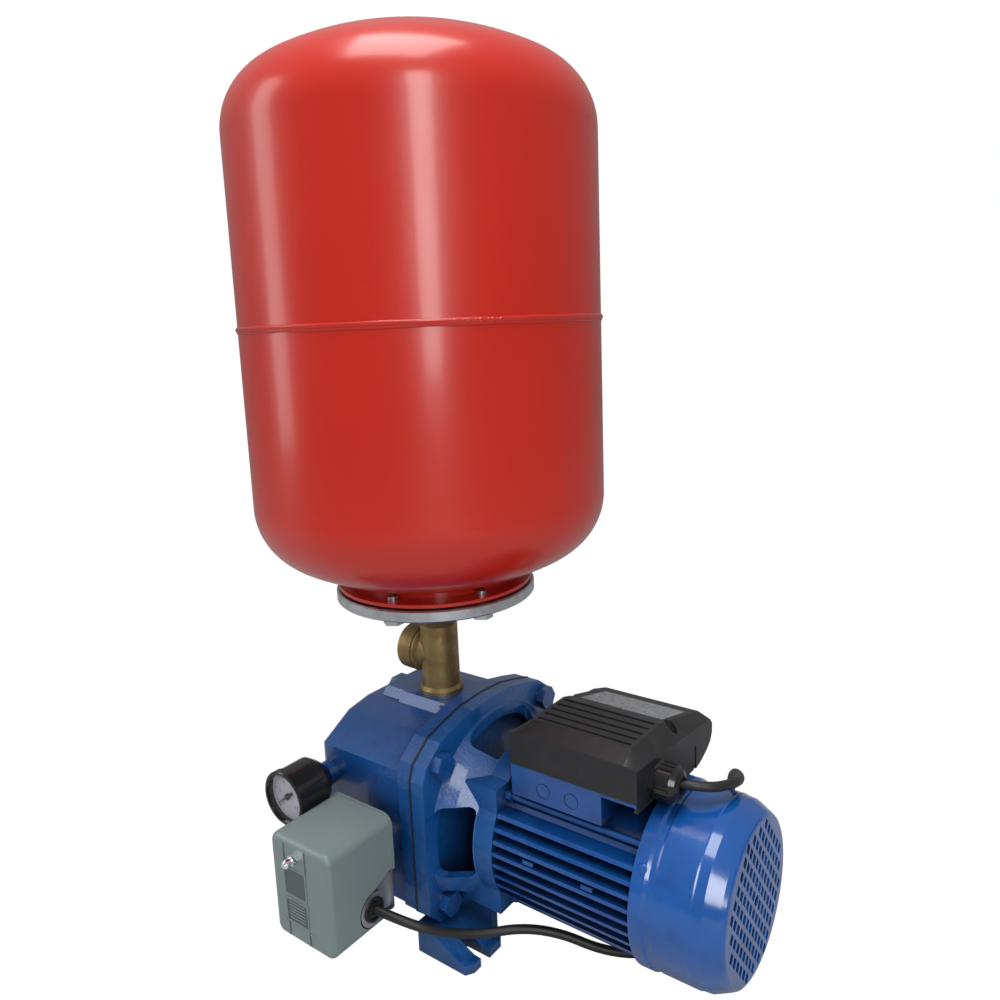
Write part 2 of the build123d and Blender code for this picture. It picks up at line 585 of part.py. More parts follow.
with BuildPart() as windings:
    tube(SHAFT, 31, CORE_LEFT - 0.3, 28.5, 42)
    tube(SHAFT, CORE_RIGHT + 0.3, 128.5, 28.5, 42)
    with BuildSketch(Plane.YZ.offset(32)) as coils:
        with Locations((0, SHAFT_Z)):
            with PolarLocations((STATOR_BORE + 3.4 + SLOT_BOTTOM) / 2, STATOR_SLOTS):
                SlotOverall(SLOT_BOTTOM - STATOR_BORE - 4.2, 3.2)
    extrude(coils.sketch, amount=95)
    fillet(windings.edges().filter_by(GeomType.CIRCLE).group_by(Axis.X)[0], 3)
    fillet(windings.edges().filter_by(GeomType.CIRCLE).group_by(Axis.X)[-1], 3)
save(windings, "stator_windings")

with BuildPart() as rotor:
    tube(SHAFT, 50, 110, 9.03, STATOR_BORE - 0.4)
    tube(SHAFT, 44, 51, 15, STATOR_BORE - 1)
    tube(SHAFT, 109, 116, 15, STATOR_BORE - 1)
    with BuildSketch(Plane.YZ.offset(40)) as blades:
        with Locations((0, SHAFT_Z)):
            with PolarLocations(20, 8):
                Rectangle(7, 1.6)
    extrude(blades.sketch, amount=80)
save(rotor, "rotor_core")

FRONT_BEARING = (9.4, 20.4)
REAR_BEARING = (134.6, 145.6)
SHAFT_END = 170.0

with BuildPart() as shaft:
    turn(SHAFT, [
        (-61.5, 0), (-61.5, 5), (-56, 5), (-56, 5.99), (-43, 5.99), (-43, 7), (-2, 7), (-2, 7.5),
        (20.4, 7.5), (20.4, 9.5), (26, 9.5), (26, 9), (128, 9), (128, 9.5), (134.6, 9.5),
        (134.6, 7.5), (146, 7.5), (146, 5.99), (SHAFT_END, 5.99), (SHAFT_END, 0),
    ])
save(shaft, "motor_shaft")

PITCH_R = 12.4
BALL_R = 2.8
GROOVE_R = 2.95


def race(plane, span, inner, outer):
    """One bearing ring with its ball groove, as a solid turned in an own builder."""
    middle = sum(span) / 2
    tube(plane, span[0], span[1], inner, outer)
    with BuildSketch(plane) as groove:
        with Locations((middle, PITCH_R)):
            Circle(GROOVE_R)
    revolve(groove.sketch, Axis(plane.origin, plane.x_dir), mode=Mode.SUBTRACT)


with BuildPart() as outer_rings:
    for span in (FRONT_BEARING, REAR_BEARING):
        race(SHAFT, span, 14.2, 17.49)
save(outer_rings, "bearing_outer_rings")

with BuildPart() as inner_rings:
    for span in (FRONT_BEARING, REAR_BEARING):
        race(SHAFT, span, 7.51, 10.6)
save(inner_rings, "bearing_inner_rings")

with BuildPart() as balls:
    for span in (FRONT_BEARING, REAR_BEARING):
        middle = sum(span) / 2
        tube(SHAFT, middle - 3.6, middle + 3.6, 11.9, 12.9)
        with Locations(Location((middle, 0, SHAFT_Z), (0, 90, 0))):
            with PolarLocations(PITCH_R, 8):
                Sphere(BALL_R)
save(balls, "bearing_balls")

with BuildPart() as wave_washer:
    tube(SHAFT, REAR_BEARING[1] + 0.1, REAR_BEARING[1] + 0.8, 13.5, 17.2)
save(wave_washer, "bearing_wave_washer")

with BuildPart() as slinger:
    tube(SHAFT, -9, -6, 7.05, 16)
    tube(SHAFT, -7, -4, 7.05, 9.5)
save(slinger, "water_slinger")

SHIELD_LEFT = FRAME_RIGHT + 0.1

with BuildPart() as end_shield:
    tube(SHAFT, SHIELD_LEFT, SHIELD_LEFT + 5, 17.52, FIN_R - 1)
    tube(SHAFT, SHIELD_LEFT, REAR_BEARING[1] + 4, 17.52, 23)
    tube(SHAFT, REAR_BEARING[1] + 1, REAR_BEARING[1] + 4, 9, 20)
    tube(SHAFT, SHIELD_LEFT - 4, SHIELD_LEFT + 1, 42, FRAME_BORE - 0.05)
    for turn_number in range(8):
        angle = math.radians(22.5 + 45 * turn_number)
        rib = Plane(
            origin=(SHIELD_LEFT + 4, 0, SHAFT_Z), x_dir=(0, math.cos(angle), math.sin(angle)),
            z_dir=(1, 0, 0),
        )
        with BuildSketch(rib) as web:
            with Locations((38, 0)):
                Rectangle(34, 3)
        extrude(web.sketch, amount=5)
    for y, z in TIE_RODS:
        rod(along_x(y, z), SHIELD_LEFT, SHIELD_LEFT + 6, 5.4)
        rod(along_x(y, z), SHIELD_LEFT - 5, SHIELD_LEFT + 7, 2.6, Mode.SUBTRACT)
save(end_shield, "motor_end_shield")

with BuildPart() as tie_rods:
    for y, z in TIE_RODS:
        rod(along_x(y, z), 12, SHIELD_LEFT + 6, 2.48)
        hexagon(along_x(y, z), SHIELD_LEFT + 6.02, SHIELD_LEFT + 10, 8)
        hexagon(along_x(y, z), FRAME_LEFT + 0.4, FRAME_LEFT + 5, 8)
save(tie_rods, "tie_rods")

FAN_LEFT = 151.5

with BuildPart() as fan:
    tube(SHAFT, FAN_LEFT, SHAFT_END + 0.6, 6.01, 12)
    tube(SHAFT, FAN_LEFT, FAN_LEFT + 2, 6.01, 34)
    for turn_number in range(8):
        angle = math.radians(45 * turn_number)
        spoke = Plane(
            origin=(FAN_LEFT, 0, SHAFT_Z), x_dir=(0, math.cos(angle), math.sin(angle)),
            z_dir=(1, 0, 0),
        )
        with BuildSketch(spoke) as blade:
            with Locations((31, 0)):
                Rectangle(40, 2)
        extrude(blade.sketch, amount=19)
save(fan, "cooling_fan")

COVER_LEFT = 133.4
COVER_SKIN = 1.3
COVER_SCREW_X = 139.5
COVER_SCREW_ANGLES = [math.radians(angle) for angle in (32, 152, 272)]


def spoke_plane(angle):
    """An axis plane that runs outward from the shaft at an angle from -Y toward +Z."""
    out = (0, -math.cos(angle), math.sin(angle))
    return Plane(origin=(COVER_SCREW_X, 0, SHAFT_Z), x_dir=out, z_dir=(1, 0, 0))


def cover_points(inset):
    """Half outline of the fan cover's outside, moved inward by the skin."""
    return [
        (COVER_LEFT, COVER_R + 1.1), (142, COVER_R + 1.1), (144.2, COVER_R - 0.3), (147.5, COVER_R - 0.3),
        (149, COVER_R), (173.4, COVER_R), (174.4, COVER_R - 0.5), (181, COVER_R - 1.2),
        (190.5, COVER_R - 6), (192.8, COVER_R - 7.4), (193.8, COVER_R - 9), (COVER_END, COVER_R - 11),
        (COVER_END, 0),
    ]


with BuildPart() as fan_cover:
    outside = cover_points(0)
    inside = [(x - (COVER_SKIN if out < COVER_R - 2 else 0), max(out - COVER_SKIN, 0)) for x, out in outside]
    turn(SHAFT, outside + inside[::-1])
    spots = [
        (column * 5.4, SHAFT_Z + row * 6.6)
        for column in range(-9, 10) for row in range(-8, 9)
        if (column + row) % 2 == 0 and 7 < math.hypot(column * 5.4, row * 6.6) < 49
    ]
    with BuildSketch(Plane.YZ.offset(COVER_END - 4)) as holes:
        with Locations((0, SHAFT_Z)):
            Circle(3.6)
        with Locations(spots):
            Polygon((-3.3, 0), (0, -4.7), (3.3, 0), (0, 4.7))
    extrude(holes.sketch, amount=6, mode=Mode.SUBTRACT)
    for angle in COVER_SCREW_ANGLES:
        rod(spoke_plane(angle), COVER_R - 4, COVER_R + 4, 2.3, Mode.SUBTRACT)
save(fan_cover, "fan_cover")

with BuildPart() as cover_screws:
    for angle in COVER_SCREW_ANGLES:
        rod(spoke_plane(angle), FIN_R - 0.6, COVER_R + 1.2, 1.9)
        turn(spoke_plane(angle), [
            (COVER_R + 1.15, 0), (COVER_R + 1.15, 3.3), (COVER_R + 1.6, 3.3), (COVER_R + 2.5, 2.2),
            (COVER_R + 2.7, 0),
        ])
save(cover_screws, "fan_cover_screws")

# ---------------------------------------------------------------- terminal box on the motor
COVER_SCREWS = [(124, 20), (40, 20)]
RIM_Z = BOX_SPLIT_Z
BOX_HALF = 45.0

with BuildPart() as box_base:
    block((BOX_LEFT, BOX_BASE_RIGHT), (-BOX_HALF, BOX_HALF), (127, RIM_Z))
    block((BOX_LEFT, BOX_RIGHT - 1), (-BOX_HALF - 0.5, BOX_HALF + 0.5), (RIM_Z - 2.5, RIM_Z))
    block((BOX_LEFT + 2.5, BOX_BASE_RIGHT - 2.5), (-BOX_HALF + 2.5, BOX_HALF - 2.5), (126, 138.2), Mode.SUBTRACT)
    block((BOX_LEFT + 2.5, BOX_BASE_RIGHT - 2.5), (-BOX_HALF + 2.5, BOX_HALF - 2.5), (140.5, 148.4), Mode.SUBTRACT)
    block((48, 98), (-38, 38), (148, RIM_Z + 1), Mode.SUBTRACT)
    block((52, 62), (-14, 14), (137, 141), Mode.SUBTRACT)
    rod(SHAFT, 20, 120, FRAME_R + 0.4, Mode.SUBTRACT)
    for x, y in COVER_SCREWS:
        tube(upright(x, y), RIM_Z, 163.2, 1.6, 4)
    for x in (58.8, 81.6):
        tube(outward(x, 137), BOX_HALF - 0.6, BOX_HALF + 1, 5, 5.8, Mode.SUBTRACT)
save(box_base, "terminal_base")

COVER_PROFILE = [
    (-46, 151), (-46, 176), (-33, 182), (8, 182), (72, 165), (76.5, 160), (76.5, 150), (73, 143.5),
    (66, 138.5), (56, 134), (46, 131.5), (46, 151),
]
COVER_END_PROFILE = [
    (-46, 151), (-46, 174.5), (-33, 173.2), (8, 169), (71, 161.5), (75, 157), (75, 150), (72, 144),
    (65, 139.4), (55, 135.4), (46, 133.5), (46, 151),
]
HOLLOW_PROFILE = [
    (-43.8, 150), (-43.8, 174.4), (-32.5, 179.6), (7.7, 179.6), (70.6, 163), (74.2, 159.2), (74.2, 150.6),
    (71.3, 145.2), (64.9, 140.8), (55.2, 136.3), (48.2, 134.4), (48.2, 153.2), (43.8, 153.2), (43.8, 150),
]
HOLLOW_END_PROFILE = [
    (-43.8, 150), (-43.8, 172.2), (-33, 171), (8, 166.8), (69.6, 159.4), (72.8, 156.4), (72.8, 150.6),
    (70.3, 145.7), (64, 141.7), (54.6, 138), (48.2, 136), (48.2, 153.2), (43.8, 153.2), (43.8, 150),
]


def box_loft(profile, end_profile, x_profile, x_end):
    """A ruled solid between the roof profile and the bevelled end profile."""
    with BuildSketch(Plane.YZ.offset(x_profile)) as middle_outline:
        Polygon(*profile, align=None)
    with BuildSketch(Plane.YZ.offset(x_end)) as end_outline:
        Polygon(*end_profile, align=None)
    loft([middle_outline.sketch, end_outline.sketch], ruled=True)


with BuildPart() as roof_hollow:
    prism(Plane.YZ.offset(43), HOLLOW_PROFILE, 79)
    box_loft(HOLLOW_PROFILE, HOLLOW_END_PROFILE, 122, BOX_RIGHT - 2.2)
    box_loft(HOLLOW_PROFILE, HOLLOW_END_PROFILE, 43, BOX_LEFT + 2.2)
    for x, y in COVER_SCREWS:
        rod(upright(x, y), 163.4, 190, 6.8, Mode.SUBTRACT)

with BuildPart() as box_cover:
    prism(Plane.YZ.offset(43), COVER_PROFILE, 79)
    box_loft(COVER_PROFILE, COVER_END_PROFILE, 122, BOX_RIGHT)
    box_loft(COVER_PROFILE, COVER_END_PROFILE, 43, BOX_LEFT)
    add(roof_hollow.part, mode=Mode.SUBTRACT)
    for y in (-29, -20.5, -12, -3.5, 5):
        block((46, 119), (y - 1.4, y + 1.4), (181, 183), Mode.SUBTRACT)
    for x, y in COVER_SCREWS:
        rod(upright(x, y), 165.4, 190, 4.8, Mode.SUBTRACT)
        rod(upright(x, y), 160, 190, 2, Mode.SUBTRACT)
    rod(GLAND, 120, 140, GLAND_THREAD_R + 0.1, Mode.SUBTRACT)
save(box_cover, "terminal_cover")

with BuildPart() as box_screws:
    for x, y in COVER_SCREWS:
        rod(upright(x, y), 165.5, 168.5, 4.2)
        rod(upright(x, y), 153, 166, 1.55)
        block((x - 0.5, x + 0.5), (y - 3, y + 3), (167.7, 169), Mode.SUBTRACT)
save(box_screws, "terminal_cover_screws")

with BuildPart() as terminal_block:
    block((66, 94), (-30, 30), (140.5, 149))
    for y in (-20, -7, 7, 20):
        rod(upright(80, y), 148, 155, 2)
        hexagon(upright(80, y), 149, 151.5, 7)
save(terminal_block, "terminal_block")

with BuildPart() as capacitor:
    rod(along_x(61.2, 152), 42, 106, 11.2)
    rod(along_x(61.2, 152), 105, 109, 9)
    for y in (57.2, 65.2):
        block((108, 115), (y - 0.4, y + 0.4), (149, 155))
save(capacitor, "run_capacitor")

GLAND_SEAT = BOX_RIGHT + 0.05

with BuildPart() as gland_body:
    tube(GLAND, GLAND_SEAT - 8, GLAND_SEAT, LEAD_BORE, GLAND_THREAD_R)
    hexagon(GLAND, GLAND_SEAT, GLAND_SEAT + 4, 22)
    tube(GLAND, GLAND_SEAT, GLAND_SEAT + 11, LEAD_BORE, 9.5)
    rod(GLAND, GLAND_SEAT - 9, GLAND_SEAT + 12, LEAD_BORE, Mode.SUBTRACT)
save(gland_body, "gland_body")

with BuildPart() as gland_nut:
    turn(GLAND, [
        (GLAND_SEAT + 4.3, 9.55), (GLAND_SEAT + 4.3, 12), (GLAND_SEAT + 14, 12), (GLAND_SEAT + 17.5, 10),
        (GLAND_SEAT + 19.5, 7), (GLAND_SEAT + 19.5, LEAD_BORE + 2), (GLAND_SEAT + 12, LEAD_BORE + 0.6),
        (GLAND_SEAT + 12, 9.55),
    ])
    with BuildSketch(across(GLAND, GLAND_SEAT + 4.3)) as ribs:
        with PolarLocations(12, 16):
            Rectangle(1.6, 1.8)
    extrude(ribs.sketch, amount=9.5)
save(gland_nut, "gland_nut")

# ---------------------------------------------------------------- pressure gauge
BEZEL_R = 21.3
CASE_BACK = GAUGE_FRONT - 36

with BuildPart() as gauge_case:
    turn(GAUGE, [
        (CASE_BACK, 5.15), (CASE_BACK, 14), (CASE_BACK + 2, 16), (CASE_BACK + 8, BEZEL_R - 1),
        (GAUGE_FRONT - 7.2, BEZEL_R - 1), (GAUGE_FRONT - 6.2, BEZEL_R), (GAUGE_FRONT - 0.8, BEZEL_R),
        (GAUGE_FRONT, BEZEL_R - 1), (GAUGE_FRONT, BEZEL_R - 2.5), (GAUGE_FRONT - 0.9, BEZEL_R - 2.5),
        (GAUGE_FRONT - 0.9, BEZEL_R - 1.6), (GAUGE_FRONT - 2.8, BEZEL_R - 1.6),
        (GAUGE_FRONT - 2.8, BEZEL_R - 2.9), (GAUGE_FRONT - 4.2, BEZEL_R - 2.9),
        (GAUGE_FRONT - 4.2, BEZEL_R - 2.2), (CASE_BACK + 9, BEZEL_R - 2.2), (CASE_BACK + 2, 14),
        (CASE_BACK + 2, 5.15),
    ])
save(gauge_case, "gauge_case")

with BuildPart() as gauge_dial:
    tube(GAUGE, GAUGE_FRONT - 7.2, GAUGE_FRONT - 6.5, 1.2, BEZEL_R - 2.5)
save(gauge_dial, "gauge_dial")

with BuildPart() as gauge_lens:
    rod(GAUGE, GAUGE_FRONT - 2.7, GAUGE_FRONT - 1, BEZEL_R - 1.9)
save(gauge_lens, "gauge_lens")

NEEDLE_FACE = Plane(origin=(GAUGE_X, 5.6 - GAUGE_FRONT, GAUGE_Z), x_dir=(-0.8, 0, -0.6), z_dir=(0, -1, 0))

with BuildPart() as gauge_needle:
    rod(GAUGE, GAUGE_FRONT - 17.6, GAUGE_FRONT - 4.6, 0.8)
    rod(GAUGE, GAUGE_FRONT - 5.8, GAUGE_FRONT - 4, 2.4)
    with BuildSketch(NEEDLE_FACE) as pointer:
        Polygon((-6.5, -1.3), (-6.5, 1.3), (0, 0.9), (14.5, 0.3), (14.5, -0.3), (0, -0.9), align=None)
    extrude(pointer.sketch, amount=0.6)
save(gauge_needle, "gauge_needle")

MOVEMENT = GAUGE_FRONT - 21.2

with BuildPart() as gauge_stem:
    rod(GAUGE, 75, BODY_HALF + 9, GAUGE_THREAD_R)
    hexagon(GAUGE, BODY_HALF + 9, CASE_BACK - 0.2, 14)
    rod(GAUGE, CASE_BACK - 0.5, MOVEMENT - 2, 5)
    rod(GAUGE, MOVEMENT - 3, MOVEMENT + 5, 4)
    rod(GAUGE, MOVEMENT + 3, MOVEMENT + 6, 0.84, Mode.SUBTRACT)
    block((GAUGE_X - 3, GAUGE_X + 3), (-MOVEMENT - 2, -MOVEMENT + 2), (GAUGE_Z - 15.5, GAUGE_Z))
    with BuildSketch(Plane(origin=(GAUGE_X, -MOVEMENT, GAUGE_Z - 14), x_dir=(0, 0, 1), z_dir=(1, 0, 0))) as section:
        Ellipse(1.0, 2.2)
    revolve(section.sketch, Axis((GAUGE_X, 0, GAUGE_Z), (0, 1, 0)), revolution_arc=250)
    rod(GAUGE, 74, MOVEMENT - 4, 2, Mode.SUBTRACT)
save(gauge_stem, "gauge_stem")

# ---------------------------------------------------------------- pressure switch
CAN_X = -66.2
CAN_Z = 75.5
CAN_WIDE = 59.5
CAN_TALL = 78.0
CAN_SKIN = 1.2
CAN_ROUND = 7.0
STUD_X = -69.0
STUD_Z = 103.5
STUD = outward(STUD_X, STUD_Z)
GROMMET = along_x(-GROMMET_Y, GROMMET_Z)
PIVOT = along_x(-110, 64)


def can_section(station, wide, tall, corner, amount, mode=Mode.ADD):
    """A rounded block with the switch cover's outline, extruded forward from a station."""
    with BuildSketch(Plane.XZ.offset(station)) as outline:
        with Locations((CAN_X, CAN_Z)):
            RectangleRounded(wide, tall, corner)
    extrude(outline.sketch, amount=amount, mode=mode)


with BuildPart() as switch_flange:
    rod(SWITCH, 70, BODY_HALF + 9.2, 6.5)
    hexagon(SWITCH, BODY_HALF + 9.2, SWITCH_BACK - 6, 18)
    rod(SWITCH, SWITCH_BACK - 6, SWITCH_BACK - 0.1, 24)
    rod(SWITCH, SWITCH_BACK - 0.2, SWITCH_BACK + 8.6, 5)
    rod(SWITCH, 69, SWITCH_BACK - 3, 2.5, Mode.SUBTRACT)
save(switch_flange, "switch_flange")

with BuildPart() as switch_base:
    can_section(SWITCH_BACK, CAN_WIDE - 3, CAN_TALL - 3, CAN_ROUND - 1.5, 1.5)
    block((-42.4, -41.3), (-137, -SWITCH_BACK - 1), (42, 68))
    for x in (-86, -46):
        block((x - 0.6, x + 0.6), (-115, -101), (58, 68))
    rod(STUD, SWITCH_BACK + 1, SWITCH_FRONT + 9, 2)
    rod(SWITCH, 99, 103, 5.4, Mode.SUBTRACT)
    rod(GROMMET, -44, -39, 7.2, Mode.SUBTRACT)
    rod(PIVOT, -90, -42, 1.3, Mode.SUBTRACT)
save(switch_base, "switch_base")

with BuildPart() as switch_lever:
    block((-83, -49), (-111, -109), (60, STUD_Z + 7))
    rod(PIVOT, -88, -44.8, 1.2)
    rod(STUD, 108, 112, 4, Mode.SUBTRACT)
save(switch_lever, "switch_lever")

with BuildPart() as switch_springs:
    with BuildLine() as range_coil:
        Helix(pitch=3.4, height=26, radius=5.2, center=(STUD_X, -113.5, STUD_Z), direction=(0, -1, 0))
    with BuildSketch(Plane(origin=range_coil.line @ 0, z_dir=range_coil.line % 0)):
        Circle(0.8)
    sweep(path=range_coil.line)
    tube(STUD, 111.3, 112.6, 2.6, 6.4)
    tube(STUD, 112.5, 114.3, 4.2, 6.2)
save(switch_springs, "switch_springs")

with BuildPart() as switch_contacts:
    block((-83, -59), (-116, -SWITCH_BACK - 1.6), (44, 53))
    for x in (-79, -71, -63):
        rod(outward(x, 48.5), 115, 119, 2.4)
save(switch_contacts, "switch_contacts")

with BuildPart() as switch_nuts:
    hexagon(STUD, SWITCH_FRONT + 0.1, SWITCH_FRONT + 4.6, 7)
    turn(STUD, [
        (SWITCH_FRONT + 4.5, 0), (SWITCH_FRONT + 4.5, 2.6), (SWITCH_FRONT + 6.5, 2.6), (SWITCH_FRONT + 6.5, 3.4),
        (SWITCH_FRONT + 9, 3.2), (SWITCH_FRONT + 10.6, 2), (SWITCH_FRONT + 11, 0),
    ])
    rod(STUD, SWITCH_FRONT, SWITCH_FRONT + 9.05, 2.03, Mode.SUBTRACT)
    hexagon(STUD, 141.6, 144.6, 10)
    rod(STUD, 141, 145, 2.03, Mode.SUBTRACT)
save(switch_nuts, "switch_nuts")

with BuildPart() as grommet:
    tube(GROMMET, -45, -35.5, LEAD_BORE, 9)
    tube(GROMMET, -42.5, -41.2, 7.1, 10, Mode.SUBTRACT)
    tube(GROMMET, -36.8, -35, 5.4, 7.4, Mode.SUBTRACT)
save(grommet, "switch_grommet")

with BuildPart() as grommet_ring:
    tube(GROMMET, -41.2, -38.6, 9.1, 11.4)
    tube(GROMMET, -38.7, -36.6, 9.1, 12.4)
save(grommet_ring, "switch_conduit_ring")

with BuildPart() as switch_cover:
    can_section(SWITCH_BACK, CAN_WIDE, CAN_TALL, CAN_ROUND, SWITCH_FRONT - SWITCH_BACK)
    fillet(switch_cover.faces().sort_by(Axis.Y)[0].edges(), 4)
    can_section(SWITCH_BACK, CAN_WIDE + 2.4, CAN_TALL + 2.4, CAN_ROUND + 1.2, 2)
    can_section(
        SWITCH_BACK - 1, CAN_WIDE - 2 * CAN_SKIN, CAN_TALL - 2 * CAN_SKIN, CAN_ROUND - CAN_SKIN,
        SWITCH_FRONT - SWITCH_BACK + 1 - CAN_SKIN - 1.4, Mode.SUBTRACT,
    )
    # the opening for the lead: a round clearance and a slanting edge up to the back rim
    rod(GROMMET, -45, -30, 13.4, Mode.SUBTRACT)
    with BuildSketch(Plane.YZ.offset(-45)) as mouth:
        Polygon(
            (-98, 35), (-98, 74), (-104, 74), (-GROMMET_Y - 9, GROMMET_Z + 10), (-GROMMET_Y, GROMMET_Z - 13),
            (-106, GROMMET_Z - 13), align=None,
        )
    extrude(mouth.sketch, amount=15, mode=Mode.SUBTRACT)
    rod(STUD, 150, 170, 2.3, Mode.SUBTRACT)
save(switch_cover, "switch_cover")

# ---------------------------------------------------------------- lead from the switch to the motor
LEAD_ROUTE = [
    (-64, -121.5, 53.5), (-12, -121.5, 53.5), (12, -82, 27), (50, -40, 26), (102, -16, 6), (140, 30, 3.8),
    (142, 86, 28), (140, 92, 84), (152, 64, 131), (179, 17, 152), (160, -20, 158), (108, -20, 158),
]


def bend_radii(points):
    """The widest even bends that leave a tenth of every run straight."""
    radii = []
    for before, here, after in zip(points, points[1:], points[2:]):
        arriving = Vector(*here) - Vector(*before)
        leaving = Vector(*after) - Vector(*here)
        half_turn = math.radians(arriving.get_angle(leaving)) / 2
        radii.append(0.45 * min(arriving.length, leaving.length) / math.tan(half_turn))
    return radii


with BuildPart() as lead:
    with BuildLine() as route:
        FilletPolyline(*LEAD_ROUTE, radius=bend_radii(LEAD_ROUTE))
    print("lead bend radii, mm:", [round(radius) for radius in bend_radii(LEAD_ROUTE)])
    with BuildSketch(Plane(origin=route.line @ 0, z_dir=route.line % 0)):
        Circle(LEAD_R)
    sweep(path=route.line)
save(lead, "motor_lead")
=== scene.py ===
"""Looks of a shallow well jet pump with a pressure tank: camera, light, materials and the finer pieces."""
import math

import bmesh
import bpy
from mathutils import Matrix, Vector


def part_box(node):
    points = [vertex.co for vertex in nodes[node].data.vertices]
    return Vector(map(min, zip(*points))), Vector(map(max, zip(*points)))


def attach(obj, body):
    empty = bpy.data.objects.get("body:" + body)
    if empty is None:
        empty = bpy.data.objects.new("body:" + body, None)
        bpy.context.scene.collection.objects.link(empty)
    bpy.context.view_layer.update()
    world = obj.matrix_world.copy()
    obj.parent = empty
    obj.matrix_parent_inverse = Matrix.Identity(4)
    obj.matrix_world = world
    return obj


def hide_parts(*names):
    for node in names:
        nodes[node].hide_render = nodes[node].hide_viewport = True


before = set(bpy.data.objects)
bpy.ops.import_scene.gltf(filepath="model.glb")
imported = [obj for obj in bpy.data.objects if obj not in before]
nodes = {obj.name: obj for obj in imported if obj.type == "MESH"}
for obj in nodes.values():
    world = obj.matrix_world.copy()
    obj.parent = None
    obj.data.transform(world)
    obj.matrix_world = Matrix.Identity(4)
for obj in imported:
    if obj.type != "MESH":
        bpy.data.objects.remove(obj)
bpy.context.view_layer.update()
scene = bpy.context.scene

MM = 0.001
TANK_X = -70 * MM
TANK_R = 135 * MM
TANK_SEAM = 461 * MM

# ---------------------------------------------------------------- camera, at the photograph's viewing angle
CAMERA_PLACE = Vector((0.3620, -0.4837, 0.4566))
YAW = math.radians(37.09)
PITCH = math.radians(9.96)
ROLL = math.radians(-2.24)
FOCAL = 0.8355                  # focal length over image width
SENSOR = 36.0
SHIFT = (0.0022, -0.0277)         # picture centre off the lens axis, over image width


def make_camera():
    ahead = Vector((-math.sin(YAW) * math.cos(PITCH), math.cos(YAW) * math.cos(PITCH), -math.sin(PITCH)))
    level = Vector((math.cos(YAW), math.sin(YAW), 0))
    above = level.cross(ahead)
    right = math.cos(ROLL) * level + math.sin(ROLL) * above
    up = math.cos(ROLL) * above - math.sin(ROLL) * level
    turn = Matrix((right, up, -ahead)).transposed()
    camera = bpy.data.objects.new("camera", bpy.data.cameras.new("camera"))
    scene.collection.objects.link(camera)
    camera.matrix_world = Matrix.Translation(CAMERA_PLACE) @ turn.to_4x4()
    camera.data.sensor_width = SENSOR
    camera.data.lens = FOCAL * SENSOR
    camera.data.shift_x, camera.data.shift_y = SHIFT
    camera.data.clip_start = 0.01
    scene.camera = camera


make_camera()

# ---------------------------------------------------------------- the lead from the switch to the motor
LEAD_WIDE = 6.6 * MM
LEAD_ROUTE = [
    (-64, -121.5, 53.5), (-12, -121.5, 53.5), (12, -82, 27), (50, -40, 26), (102, -16, 6), (140, 30, 3.8),
    (142, 86, 28), (140, 92, 84), (152, 64, 131), (179, 17, 152), (160, -20, 158), (108, -20, 158),
]


def make_lead():
    curve = bpy.data.curves.new("lead", "CURVE")
    curve.dimensions = "3D"
    spline = curve.splines.new("NURBS")
    spline.points.add(len(LEAD_ROUTE) - 1)
    for point, place in zip(spline.points, LEAD_ROUTE):
        point.co = (*(Vector(place) * MM), 1)
    spline.order_u = 3
    spline.use_endpoint_u = True
    spline.resolution_u = 16
    curve.bevel_depth = LEAD_WIDE / 2
    curve.bevel_resolution = 6
    curve.use_fill_caps = True
    lead = bpy.data.objects.new("lead", curve)
    scene.collection.objects.link(lead)
    return lead


lead = make_lead()
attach(lead, "pump_frame")
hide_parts("motor_lead")

# ---------------------------------------------------------------- materials


